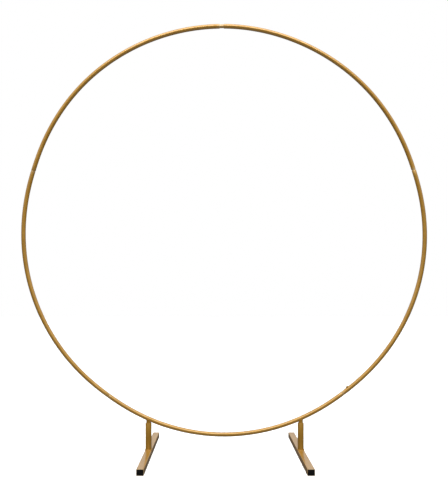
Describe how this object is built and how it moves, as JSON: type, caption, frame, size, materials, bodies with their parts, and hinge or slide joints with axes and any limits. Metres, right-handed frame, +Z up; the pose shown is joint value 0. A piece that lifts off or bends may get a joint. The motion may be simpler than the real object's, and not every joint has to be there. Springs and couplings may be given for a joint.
{
  "type": "wreath frame",
  "caption": "Upright round hoop of thin gold-painted tube standing on two low T-shaped feet, used to hold wreaths, flowers, balloons or cloth.",
  "frame": {"origin": "on the floor, under the middle of the whole frame; the hoop stands 16 mm in front of it", "axes": "+Z up, the hoop stands upright along X, +X to the right and -Y towards a viewer at the front"},
  "size_m": [1.4872, 0.51, 1.583],
  "materials": {
    "gold_paint": "satin gold paint",
    "yellow_zinc": "yellow zinc plate",
    "black_plastic": "moulded, matt"
  },
  "bodies": {
    "ring": {"ring_section_top_left": "gold_paint", "ring_section_left": "gold_paint", "ring_section_bottom": "gold_paint", "ring_section_right": "gold_paint", "ring_section_top_right": "gold_paint", "ring_nut_top": "yellow_zinc", "ring_nut_upper_left": "yellow_zinc", "ring_nut_lower_left": "yellow_zinc", "ring_nut_lower_right": "yellow_zinc", "ring_nut_upper_right": "yellow_zinc", "left_stub": "gold_paint", "right_stub": "gold_paint"},
    "left_foot": {"left_post": "gold_paint", "left_post_weld": "gold_paint", "left_foot_bar": "gold_paint", "left_front_plug": "black_plastic", "left_rear_plug": "black_plastic"},
    "left_foot_screw": {"left_foot_screw": "yellow_zinc"},
    "right_foot": {"right_post": "gold_paint", "right_post_weld": "gold_paint", "right_foot_bar": "gold_paint", "right_front_plug": "black_plastic", "right_rear_plug": "black_plastic"},
    "right_foot_screw": {"right_foot_screw": "yellow_zinc"},
    "ring_screw_top": {"ring_screw_top": "yellow_zinc"},
    "ring_screw_upper_left": {"ring_screw_upper_left": "yellow_zinc"},
    "ring_screw_lower_left": {"ring_screw_lower_left": "yellow_zinc"},
    "ring_screw_lower_right": {"ring_screw_lower_right": "yellow_zinc"},
    "ring_screw_upper_right": {"ring_screw_upper_right": "yellow_zinc"}
  },
  "joints": [
    {"name": "left_foot_pull_off", "type": "slide", "parent": "ring", "child": "left_foot", "axis": [0, 0, -1], "range_m": [0, 0.06]},
    {"name": "left_foot_screw_turn", "type": "hinge", "parent": "left_foot", "child": "left_foot_screw", "pos_m": [-0.2774, -0.0017, 0.11581], "axis": [0, 1, 0], "range_deg": [0, 1080]},
    {"name": "right_foot_pull_off", "type": "slide", "parent": "ring", "child": "right_foot", "axis": [0, 0, -1], "range_m": [0, 0.06]},
    {"name": "right_foot_screw_turn", "type": "hinge", "parent": "right_foot", "child": "right_foot_screw", "pos_m": [0.2806, -0.0017, 0.11581], "axis": [0, 1, 0], "range_deg": [0, 1080]},
    {"name": "ring_screw_top_turn", "type": "hinge", "parent": "ring", "child": "ring_screw_top", "pos_m": [-0.04369, -0.0077, 1.57383], "axis": [0, 1, 0], "range_deg": [0, 2070]},
    {"name": "ring_screw_upper_left_turn", "type": "hinge", "parent": "ring", "child": "ring_screw_upper_left", "pos_m": [-0.70797, -0.0077, 1.01703], "axis": [0, 1, 0], "range_deg": [0, 2070]},
    {"name": "ring_screw_lower_left_turn", "type": "hinge", "parent": "ring", "child": "ring_screw_lower_left", "pos_m": [-0.4006, -0.0077, 0.20476], "axis": [0, 1, 0], "range_deg": [0, 2070]},
    {"name": "ring_screw_lower_right_turn", "type": "hinge", "parent": "ring", "child": "ring_screw_lower_right", "pos_m": [0.45112, -0.016, 0.25237], "axis": [-0.619, 0, 0.7854], "range_deg": [0, 2070]},
    {"name": "ring_screw_upper_right_turn", "type": "hinge", "parent": "ring", "child": "ring_screw_upper_right", "pos_m": [0.68597, -0.0077, 1.07561], "axis": [0, 1, 0], "range_deg": [0, 2070]}
  ]
}
